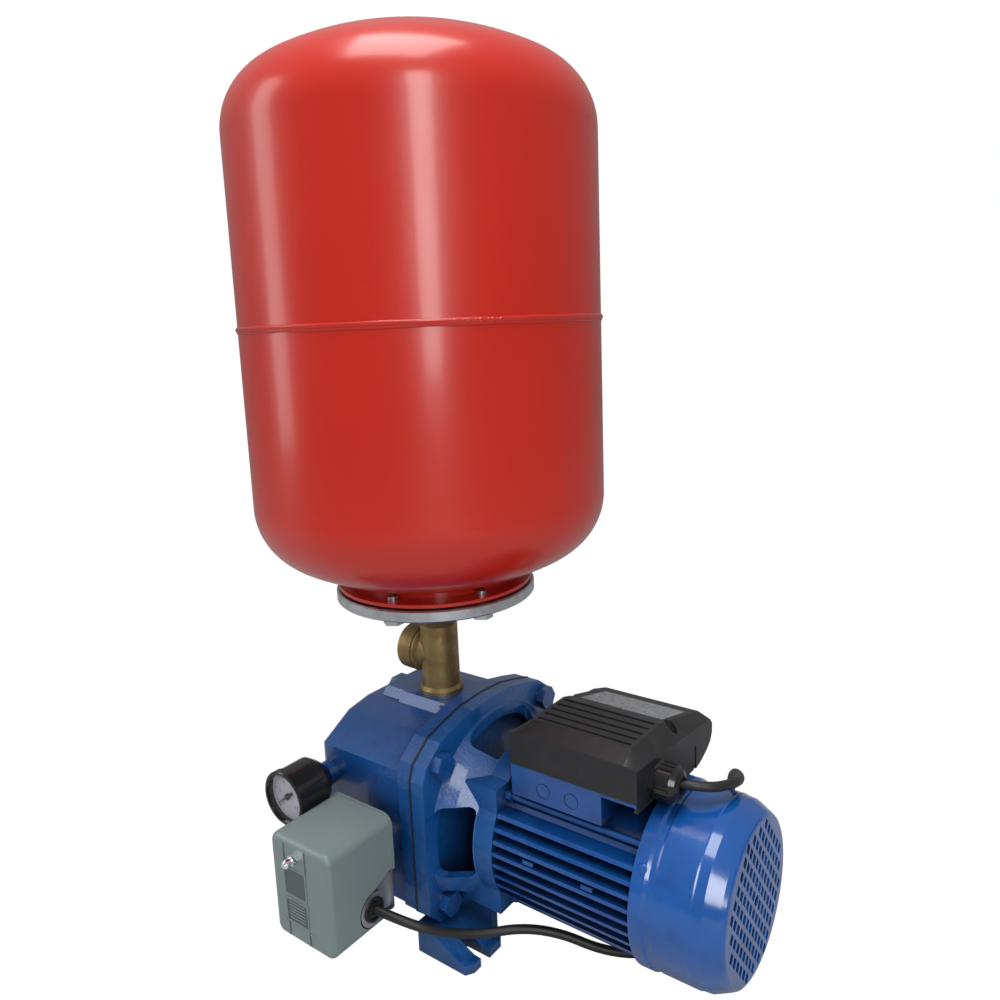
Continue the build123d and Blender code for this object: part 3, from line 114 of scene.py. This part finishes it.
class Shader:
    """A Principled material with short ways to vary its colour, roughness and surface."""

    def __init__(self, name, colour, rough, metal=0.0, coat=0.0, coat_rough=0.05, specular=0.5):
        self.material = bpy.data.materials.new(name)
        self.material.use_nodes = True
        self.tree = self.material.node_tree
        self.base = self.tree.nodes["Principled BSDF"]
        self.base.inputs["Base Color"].default_value = (*colour, 1)
        self.base.inputs["Roughness"].default_value = rough
        self.base.inputs["Metallic"].default_value = metal
        self.base.inputs["Coat Weight"].default_value = coat
        self.base.inputs["Coat Roughness"].default_value = coat_rough
        self.base.inputs["Specular IOR Level"].default_value = specular
        self.place = self.node("ShaderNodeTexCoord").outputs["Object"]
        self.bumped = None

    def node(self, kind, **settings):
        made = self.tree.nodes.new(kind)
        for key, value in settings.items():
            setattr(made, key, value)
        return made

    def link(self, source, target):
        self.tree.links.new(source, target)

    def noise(self, per_metre, detail=3.0, rough=0.5, stretch=(1, 1, 1)):
        """Cloudy values from 0 to 1, with features a given number to the metre."""
        scaled = self.node("ShaderNodeMapping")
        scaled.inputs["Scale"].default_value = stretch
        self.link(self.place, scaled.inputs["Vector"])
        cloud = self.node("ShaderNodeTexNoise")
        cloud.inputs["Scale"].default_value = per_metre
        cloud.inputs["Detail"].default_value = detail
        cloud.inputs["Roughness"].default_value = rough
        self.link(scaled.outputs["Vector"], cloud.inputs["Vector"])
        return cloud.outputs["Fac"]

    def ramp(self, value, low, high, low_out=0.0, high_out=1.0):
        """Maps a stretch of values to another, clamped."""
        mapped = self.node("ShaderNodeMapRange")
        mapped.inputs["From Min"].default_value = low
        mapped.inputs["From Max"].default_value = high
        mapped.inputs["To Min"].default_value = low_out
        mapped.inputs["To Max"].default_value = high_out
        self.link(value, mapped.inputs["Value"])
        return mapped.outputs["Result"]

    def tint(self, value, colour):
        """Mixes a colour over what the base colour is so far, where value is 1."""
        mix = self.node("ShaderNodeMix", data_type="RGBA")
        socket = self.base.inputs["Base Color"]
        mix.inputs["A"].default_value = socket.default_value
        if socket.is_linked:
            self.link(socket.links[0].from_socket, mix.inputs["A"])
        mix.inputs["B"].default_value = (*colour, 1)
        self.link(value, mix.inputs["Factor"])
        self.link(mix.outputs["Result"], socket)
        return self

    def gloss(self, value, low, high):
        """Roughness from low to high as value goes from 0 to 1."""
        self.link(self.ramp(value, 0, 1, low, high), self.base.inputs["Roughness"])
        return self

    def bump(self, value, height, strength=1.0):
        """Raises the surface by up to a height in metres, over any bump so far."""
        bump = self.node("ShaderNodeBump")
        bump.inputs["Strength"].default_value = strength
        bump.inputs["Distance"].default_value = height
        self.link(value, bump.inputs["Height"])
        if self.bumped is not None:
            self.link(self.bumped, bump.inputs["Normal"])
        self.bumped = bump.outputs["Normal"]
        self.link(self.bumped, self.base.inputs["Normal"])
        return self

    def painted_hollow_shade(self, colour, reach, strength=1.0):
        """Painted shade: a darker colour laid in hollows and corners narrower than a reach in metres, where
        less light reaches.
        """
        hollow = self.node("ShaderNodeAmbientOcclusion", samples=6)
        hollow.inputs["Distance"].default_value = reach
        return self.tint(self.ramp(hollow.outputs["AO"], 0.75, 0.15, 0.0, strength), colour)

    def edge(self, colour, reach, strength=1.0):
        """A lighter colour on the edges, where a bevelled normal leaves the true one: a painted highlight
        on the blue paints, rubbed bright metal on the brass.
        """
        bevel = self.node("ShaderNodeBevel", samples=4)
        bevel.inputs["Radius"].default_value = reach
        true = self.node("ShaderNodeNewGeometry").outputs["Normal"]
        dot = self.node("ShaderNodeVectorMath", operation="DOT_PRODUCT")
        self.link(bevel.outputs["Normal"], dot.inputs[0])
        self.link(true, dot.inputs[1])
        edge_highlight_and_wear = self.ramp(dot.outputs["Value"], 0.985, 0.90, 0.0, strength)
        return self.tint(edge_highlight_and_wear, colour)


def tank_enamel():
    shader = Shader("tank_enamel", (0.52, 0.013, 0.003), 0.30, coat=0.28, coat_rough=0.12)
    shader.tint(shader.ramp(shader.noise(7, 2), 0.35, 0.75, 0, 0.35), (0.60, 0.022, 0.005))
    shader.tint(shader.ramp(shader.noise(520, 2), 0.70, 0.78, 0, 0.35), (0.30, 0.010, 0.004))
    shader.gloss(shader.noise(14, 3), 0.24, 0.36)
    shader.bump(shader.noise(90, 2), 0.00006)
    shader.bump(shader.noise(420, 2), 0.00003)
    return shader.material


def blue_paint(name, colour, roughness, grain, grain_height):
    shader = Shader(name, colour, roughness, coat=0.45, coat_rough=0.08)
    lighter = tuple(min(1, c * 1.45 + 0.010) for c in colour)
    darker = tuple(c * 0.50 for c in colour)
    shader.tint(shader.ramp(shader.noise(22, 4), 0.40, 0.70, 0, 0.5), lighter)
    shader.tint(shader.ramp(shader.noise(60, 4), 0.52, 0.75, 0, 0.5), darker)
    shader.gloss(shader.noise(45, 3), roughness * 0.8, roughness * 1.5)
    shader.bump(shader.noise(grain, 3, 0.6), grain_height)
    shader.bump(shader.noise(grain / 5, 2), grain_height)
    # painted highlight: a lighter blue along every edge of the paint
    shader.edge(lighter, 0.0009, 0.5)
    # painted shade: near-black blue in the hollows, such as inside the motor bracket's window
    shader.painted_hollow_shade((0.001, 0.004, 0.016), 0.045, 0.9)
    return shader


def zinc():
    shader = Shader("zinc_plate", (0.56, 0.58, 0.60), 0.34, metal=1.0)
    shader.tint(shader.ramp(shader.noise(120, 4), 0.45, 0.70, 0, 0.6), (0.40, 0.42, 0.43))
    shader.tint(shader.ramp(shader.noise(35, 3), 0.60, 0.72, 0, 0.4), (0.70, 0.68, 0.60))
    shader.gloss(shader.noise(200, 3), 0.24, 0.46)
    shader.bump(shader.noise(700, 3), 0.00004)
    return shader.material


def steel(name, colour, low, high):
    shader = Shader(name, colour, low, metal=1.0)
    shader.gloss(shader.noise(300, 3, stretch=(0.1, 1, 1)), low, high)
    shader.tint(shader.ramp(shader.noise(90, 3), 0.5, 0.7, 0, 0.4), tuple(c * 0.7 for c in colour))
    shader.bump(shader.noise(1500, 2, stretch=(0.1, 1, 1)), 0.00002)
    return shader.material


def cast_brass():
    shader = Shader("cast_brass", (0.34, 0.24, 0.10), 0.42, metal=0.85)
    shader.tint(shader.ramp(shader.noise(70, 4), 0.40, 0.65, 0, 0.75), (0.20, 0.13, 0.055))
    shader.tint(shader.ramp(shader.noise(240, 3), 0.60, 0.72, 0, 0.5), (0.47, 0.36, 0.17))
    shader.gloss(shader.noise(180, 3), 0.34, 0.58)
    shader.bump(shader.noise(900, 3, 0.6), 0.00016)
    shader.edge((0.52, 0.42, 0.22), 0.0009, 0.6)
    return shader.material


def plastic(name, colour, low, high, grain=1400, height=0.00003, dust=0.12):
    shader = Shader(name, colour, low)
    paler = tuple(c * 0.8 + 0.035 for c in colour)
    shader.tint(shader.ramp(shader.noise(45, 4), 0.50, 0.75, 0, dust * 2), paler)
    shader.gloss(shader.noise(80, 3), low, high)
    shader.bump(shader.noise(grain, 2), height)
    return shader


def rubber(name="rubber"):
    shader = Shader(name, (0.012, 0.012, 0.013), 0.45)
    shader.tint(shader.ramp(shader.noise(60, 4), 0.50, 0.75, 0, 0.3), (0.035, 0.034, 0.034))
    shader.gloss(shader.noise(150, 3), 0.36, 0.55)
    shader.bump(shader.noise(900, 3), 0.00003)
    return shader.material


def lens():
    shader = Shader("lens", (1, 1, 1), 0.03)
    shader.base.inputs["Transmission Weight"].default_value = 1.0
    shader.base.inputs["IOR"].default_value = 1.15
    shader.bump(shader.noise(60, 2), 0.00001)
    return shader.material


def foil():
    """The mottled silver of a blank rating plate."""
    shader = Shader("rating_foil", (0.42, 0.44, 0.46), 0.38, metal=0.6)
    shader.tint(shader.ramp(shader.noise(420, 4, 0.7), 0.46, 0.60, 0, 0.8), (0.20, 0.21, 0.23))
    shader.tint(shader.ramp(shader.noise(160, 4, 0.7), 0.52, 0.68, 0, 0.7), (0.66, 0.67, 0.68))
    shader.gloss(shader.noise(260, 3), 0.26, 0.55)
    shader.bump(shader.noise(900, 3), 0.00005)
    return shader.material


CASTING_BLUE = (0.004, 0.066, 0.26)
casting = blue_paint("casting_blue", CASTING_BLUE, 0.24, 420, 0.00022).material
rough_casting = blue_paint("rough_casting_blue", (0.005, 0.080, 0.29), 0.28, 520, 0.0005).material
motor_blue = blue_paint("motor_blue", (0.003, 0.062, 0.26), 0.22, 350, 0.00008).material
sheet_blue = blue_paint("sheet_blue", (0.004, 0.075, 0.31), 0.13, 240, 0.00003).material
enamel = tank_enamel()
zinc_plate = zinc()
bright = steel("bright_steel", (0.62, 0.62, 0.63), 0.16, 0.32)
dark_steel = steel("core_steel", (0.20, 0.20, 0.21), 0.35, 0.55)
chrome = steel("chrome", (0.80, 0.81, 0.82), 0.05, 0.12)
copper = steel("copper_wire", (0.66, 0.28, 0.12), 0.25, 0.40)
brass = cast_brass()
black_satin = plastic("black_satin", (0.014, 0.014, 0.016), 0.36, 0.50, 900, 0.00008).material
black_gloss = plastic("black_gloss", (0.010, 0.010, 0.011), 0.12, 0.22).material
grey_shell = plastic("grey_shell", (0.185, 0.235, 0.235), 0.26, 0.40, 1200, 0.00004, 0.08).material
white_card = plastic("white_card", (0.62, 0.60, 0.70), 0.45, 0.55).material
# painted shade for the fields inside the frames on the switch cover
field_shade_grey = plastic("field_shade_grey", (0.085, 0.105, 0.105), 0.40, 0.55).material
ink = plastic("ink", (0.02, 0.02, 0.05), 0.4, 0.5).material
label_foil = foil()

noryl = plastic("noryl", (0.05, 0.05, 0.05), 0.4, 0.5).material
ceramic = plastic("ceramic", (0.75, 0.73, 0.66), 0.2, 0.3).material
black_rubber = rubber()
clear = lens()

LOOKS = {
    enamel: "tank_upper_shell tank_lower_shell",
    black_rubber: "tank_bladder body_gasket jet_o_rings switch_grommet water_slinger",
    zinc_plate: "tank_counter_flange tank_flange_bolts switch_base switch_flange switch_lever"
                " terminal_cover_screws switch_conduit_ring",
    brass: "brass_tee impeller priming_plug drain_plug gauge_stem tank_valve_stem tank_valve_pin",
    chrome: "tank_valve_cap switch_nuts",
    casting: "pump_casing casing_bolts",
    rough_casting: "motor_bracket",
    noryl: "diffuser venturi_tube jet_nozzle",
    ceramic: "seal_seat seal_rotary",
    bright: "seal_spring impeller_nut motor_shaft bearing_outer_rings bearing_inner_rings bearing_balls"
            " switch_springs bearing_wave_washer",
    motor_blue: "motor_housing motor_end_shield terminal_base tie_rods",
    dark_steel: "stator_core rotor_core",
    copper: "stator_windings",
    sheet_blue: "fan_cover fan_cover_screws",
    black_satin: "terminal_cover cooling_fan",
    black_gloss: "gland_body gland_nut gauge_case gauge_needle terminal_block switch_contacts",
    white_card: "run_capacitor gauge_dial",
    clear: "gauge_lens",
    grey_shell: "switch_cover",
}


def dress(thing, material):
    thing.data.materials.clear()
    thing.data.materials.append(material)


for material, names in LOOKS.items():
    for name in names.split():
        for place in nodes[name].material_slots:
            place.material = material
dress(lead, black_rubber)

# ---------------------------------------------------------------- finer pieces that ride on the pump


def add_piece(name, material, build, body="pump_frame"):
    """A small mesh piece made by build(bmesh), in the row frame, riding a body."""
    mesh = bpy.data.meshes.new(name)
    shape = bmesh.new()
    build(shape)
    bmesh.ops.recalc_face_normals(shape, faces=shape.faces)
    shape.to_mesh(mesh)
    shape.free()
    piece = bpy.data.objects.new(name, mesh)
    scene.collection.objects.link(piece)
    dress(piece, material)
    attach(piece, body)
    return piece


def bar(shape, low, high):
    """A box between two corners, in millimetres."""
    low, high = Vector(low) * MM, Vector(high) * MM
    made = bmesh.ops.create_cube(shape, size=1)
    for vertex in made["verts"]:
        vertex.co = [(a + b) / 2 + (b - a) * c for a, b, c in zip(low, high, vertex.co)]


def soften(piece, width):
    """Rounds the edges of a piece by a width in millimetres."""
    rounding = piece.modifiers.new("rounding", "BEVEL")
    rounding.width = width * MM
    rounding.segments = 2
    rounding.limit_method = "ANGLE"


SWITCH_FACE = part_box("switch_cover")[0][1] / MM


def embossing(shape):
    """Raised frames, ribs and lines pressed into the front of the switch cover, with no lettering."""
    near, far = SWITCH_FACE - 0.7, SWITCH_FACE + 0.2

    def stroke(x0, x1, z0, z1):
        bar(shape, (x0, near, z0), (x1, far, z1))

    for x in (-82.0, -60.5):
        stroke(x - 0.45, x + 0.45, 39.5, 50)
        stroke(x - 0.45, x + 0.45, 94.5, 111)
    for low, high in ((72.5, 93.5), (51.5, 69)):
        stroke(-83, -82, low, high)
        stroke(-61, -60, low, high)
        stroke(-83, -60, low - 0.5, low + 0.5)
        stroke(-83, -60, high - 0.5, high + 0.5)
    for step in range(6):
        stroke(-79.5, -63.5, 54.4 + 2.4 * step, 55.2 + 2.4 * step)
    stroke(-89, -84, 50.2, 51.4)
    stroke(-59.5, -54.5, 48.2, 49.4)


soften(add_piece("switch_embossing", grey_shell, embossing), 0.2)


def field_shade_plates(shape):
    """Painted shade: dark grey plates laid over the fields that the frames on the switch cover enclose."""
    for low, high in ((73, 93), (52, 68.5)):
        bar(shape, (-82, SWITCH_FACE - 0.12, low), (-61, SWITCH_FACE + 0.2, high))
    for x in (-80.6, -59.1):
        bar(shape, (x - 0.9, SWITCH_FACE - 0.12, 39.5), (x, SWITCH_FACE + 0.2, 50))
        bar(shape, (x - 0.9, SWITCH_FACE - 0.12, 94.5), (x, SWITCH_FACE + 0.2, 110))


# painted shade: dark plates over the switch cover's framed fields
add_piece("switch_field_shade", field_shade_grey, field_shade_plates)

# the blank rating plate lies on the long slope of the terminal cover
SLOPE_LOW = Vector((0, 72, 165)) * MM
SLOPE_HIGH = Vector((0, 8, 182)) * MM
SLOPE_UP = (SLOPE_HIGH - SLOPE_LOW).normalized()
SLOPE_OUT = Vector((0, -SLOPE_UP.z, SLOPE_UP.y)) * -1


def rating_plate(shape):
    for x, up in ((51, 15), (118, 15), (118, 54), (51, 54)):
        shape.verts.new(Vector((x * MM, 0, 0)) + SLOPE_LOW + SLOPE_UP * up * MM + SLOPE_OUT * 0.25 * MM)
    face = shape.faces.new(shape.verts)
    bottom = bmesh.ops.extrude_face_region(shape, geom=[face])
    for vertex in [v for v in bottom["geom"] if isinstance(v, bmesh.types.BMVert)]:
        vertex.co -= SLOPE_OUT * 0.35 * MM


add_piece("rating_plate", label_foil, rating_plate)

# ejector pads on the fins
FIN_PADS = [(50, 59), (97, 106)]


def fin_pads(shape):
    for x0, x1 in FIN_PADS:
        bar(shape, (x0, -60.9, 87), (x1, -56, 90.5))


soften(add_piece("fin_pads", motor_blue, fin_pads), 0.6)


def weld_start(shape):
    for step in range(14):
        angle = math.radians(-42 + 1.15 * step)
        reach = TANK_R + 0.45 * MM
        middle = Vector((TANK_X + reach * math.cos(angle), reach * math.sin(angle), TANK_SEAM - 0.9 * MM))
        turned = Matrix.Translation(middle) @ Matrix.Rotation(angle, 4, "Z")
        bead = turned @ Matrix.Diagonal((0.5, 1.1, 0.8, 1))
        bmesh.ops.create_icosphere(shape, subdivisions=2, radius=(1.9 + 0.3 * (step % 3)) * MM, matrix=bead)


add_piece("weld_start", enamel, weld_start)


def seam_bead(shape):
    """The painted weld bead all round the tank, slightly uneven along its length."""
    count, sides = 240, 10
    rings = []
    for step in range(count):
        angle = math.tau * step / count
        wobble = 1 + 0.05 * math.sin(17 * angle) + 0.03 * math.sin(41 * angle)
        ring = []
        for side in range(sides):
            lean = math.tau * side / sides
            reach = TANK_R + (0.1 + 0.9 * math.cos(lean)) * MM
            rise = TANK_SEAM + (2.6 * wobble * math.sin(lean) - 1.2) * MM
            ring.append(shape.verts.new((TANK_X + reach * math.cos(angle), reach * math.sin(angle), rise)))
        rings.append(ring)
    for ring, after in zip(rings, rings[1:] + rings[:1]):
        for side in range(sides):
            turn = (side + 1) % sides
            shape.faces.new((ring[side], ring[turn], after[turn], after[side]))


seam = add_piece("seam_bead", enamel, seam_bead)
for face in seam.data.polygons:
    face.use_smooth = True

# the end wall of the terminal cover, below the overhang, as (y, z) in millimetres
WEB_OUTLINE = [
    (-44, 150.5), (60, 150.5), (60, 141), (52, 136.5), (42, 133.5), (30, 134), (10, 140), (-44, 144),
]
WEB_DEPTHS = (3, 0.6)             # its two faces, in from the end of the cover
COVER_HIGH = Vector(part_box("terminal_cover")[1]) / MM


def cover_end_web(shape):
    walls = []
    for depth in WEB_DEPTHS:
        x = COVER_HIGH.x - depth
        walls.append([shape.verts.new((x * MM, y * MM, z * MM)) for y, z in WEB_OUTLINE])
    near, far = walls
    shape.faces.new(near)
    shape.faces.new(far[::-1])
    for k in range(len(near)):
        after = (k + 1) % len(near)
        shape.faces.new((near[k], near[after], far[after], far[k]))


add_piece("cover_end_web", black_satin, cover_end_web)

# the printed scale of the gauge: 270 degrees of ticks and plain numbers, on the dial's face
GAUGE_LOW, GAUGE_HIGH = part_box("gauge_dial")
GAUGE_X = (GAUGE_LOW[0] + GAUGE_HIGH[0]) / 2
GAUGE_Z = (GAUGE_LOW[2] + GAUGE_HIGH[2]) / 2
DIAL_FACE = GAUGE_LOW[1]
DIAL_R = (GAUGE_HIGH[0] - GAUGE_LOW[0]) / 2


def dial_ticks(shape):
    for step in range(51):
        angle = math.radians(225 - 5.4 * step)
        long = step % 10 == 0
        inner, outer = DIAL_R * (0.74 if long else 0.82), DIAL_R * 0.90
        wide = (0.32 if long else 0.16) * MM
        out = Vector((math.cos(angle), 0, math.sin(angle)))
        side = Vector((-math.sin(angle), 0, math.cos(angle))) * wide
        centre = Vector((GAUGE_X, DIAL_FACE - 0.06 * MM, GAUGE_Z))
        corners = [centre + out * inner - side, centre + out * outer - side,
                   centre + out * outer + side, centre + out * inner + side]
        shape.faces.new([shape.verts.new(corner) for corner in corners])


add_piece("dial_ticks", ink, dial_ticks)

for step in range(6):
    angle = math.radians(225 - 54 * step)
    curve = bpy.data.curves.new(f"dial_number_{step}", "FONT")
    curve.body = str(2 * step)
    curve.size = 4.2 * MM
    curve.align_x = "CENTER"
    curve.align_y = "CENTER"
    number = bpy.data.objects.new(f"dial_number_{step}", curve)
    scene.collection.objects.link(number)
    reach = DIAL_R * 0.56
    number.location = (
        GAUGE_X + reach * math.cos(angle), DIAL_FACE - 0.08 * MM, GAUGE_Z + reach * math.sin(angle)
    )
    number.rotation_euler = (math.radians(90), 0, 0)
    dress(number, ink)
    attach(number, "pump_frame")

# ---------------------------------------------------------------- floor, backdrop and light


def make_floor():
    """A white floor that the camera sees almost as the backdrop, with a faint shadow of the pump on it."""
    mesh = bpy.data.meshes.new("floor")
    half = 4.0
    mesh.from_pydata(
        [(-half, -half, 0), (half, -half, 0), (half, half, 0), (-half, half, 0)], [], [(0, 1, 2, 3)]
    )
    floor = bpy.data.objects.new("floor", mesh)
    scene.collection.objects.link(floor)
    floor.location.z = -0.0004
    shader = Shader("floor", (0.45, 0.45, 0.46), 0.7)
    shader.tint(shader.ramp(shader.noise(3, 2), 0.4, 0.7, 0, 0.3), (0.50, 0.50, 0.50))
    glow = shader.node("ShaderNodeEmission")
    glow.inputs["Color"].default_value = (1, 1, 1, 1)
    glow.inputs["Strength"].default_value = 1.03
    seen = shader.node("ShaderNodeLightPath").outputs["Is Camera Ray"]
    mix = shader.node("ShaderNodeMixShader")
    shader.link(shader.ramp(seen, 0, 1, 0, 0.975), mix.inputs["Fac"])
    shader.link(shader.base.outputs["BSDF"], mix.inputs[1])
    shader.link(glow.outputs["Emission"], mix.inputs[2])
    shader.link(mix.outputs["Shader"], shader.tree.nodes["Material Output"].inputs["Surface"])
    dress(floor, shader.material)


def softbox(name, place, aim, size, power, colour=(1, 1, 1)):
    lamp = bpy.data.lights.new(name, "AREA")
    lamp.shape = "RECTANGLE"
    lamp.size, lamp.size_y = size
    lamp.energy = power
    lamp.color = colour
    holder = bpy.data.objects.new(name, lamp)
    scene.collection.objects.link(holder)
    holder.location = place
    holder.rotation_euler = (Vector(aim) - Vector(place)).to_track_quat("-Z", "Y").to_euler()


def make_world():
    """A white backdrop for the camera; everything else sees a dim room, darker below than above."""
    world = bpy.data.worlds.new("studio")
    scene.world = world
    world.use_nodes = True
    tree = world.node_tree
    room = tree.nodes["Background"]
    room.inputs["Strength"].default_value = 1.0
    height = tree.nodes.new("ShaderNodeSeparateXYZ")
    tree.links.new(tree.nodes.new("ShaderNodeTexCoord").outputs["Generated"], height.inputs["Vector"])
    shade = tree.nodes.new("ShaderNodeMapRange")
    shade.inputs["From Min"].default_value = -0.6
    shade.inputs["From Max"].default_value = 0.9
    shade.inputs["To Min"].default_value = 0.04
    shade.inputs["To Max"].default_value = 0.50
    tree.links.new(height.outputs["Z"], shade.inputs["Value"])
    tree.links.new(shade.outputs["Result"], room.inputs["Color"])
    backdrop = tree.nodes.new("ShaderNodeBackground")
    backdrop.inputs["Color"].default_value = (1, 1, 1, 1)
    mix = tree.nodes.new("ShaderNodeMixShader")
    tree.links.new(tree.nodes.new("ShaderNodeLightPath").outputs["Is Camera Ray"], mix.inputs["Fac"])
    tree.links.new(room.outputs["Background"], mix.inputs[1])
    tree.links.new(backdrop.outputs["Background"], mix.inputs[2])
    tree.links.new(mix.outputs["Shader"], tree.nodes["World Output"].inputs["Surface"])


def make_light():
    make_world()
    middle = (0.0, 0.0, 0.30)
    softbox("right_front", (1.0, -1.0, 0.9), middle, (0.30, 1.2), 11)
    softbox("left_front", (-1.1, -0.9, 0.8), middle, (0.35, 1.3), 4.5)
    softbox("overhead", (0.1, -0.3, 1.9), middle, (0.9, 0.9), 17)
    scene.view_settings.view_transform = "Standard"


make_floor()
make_light()
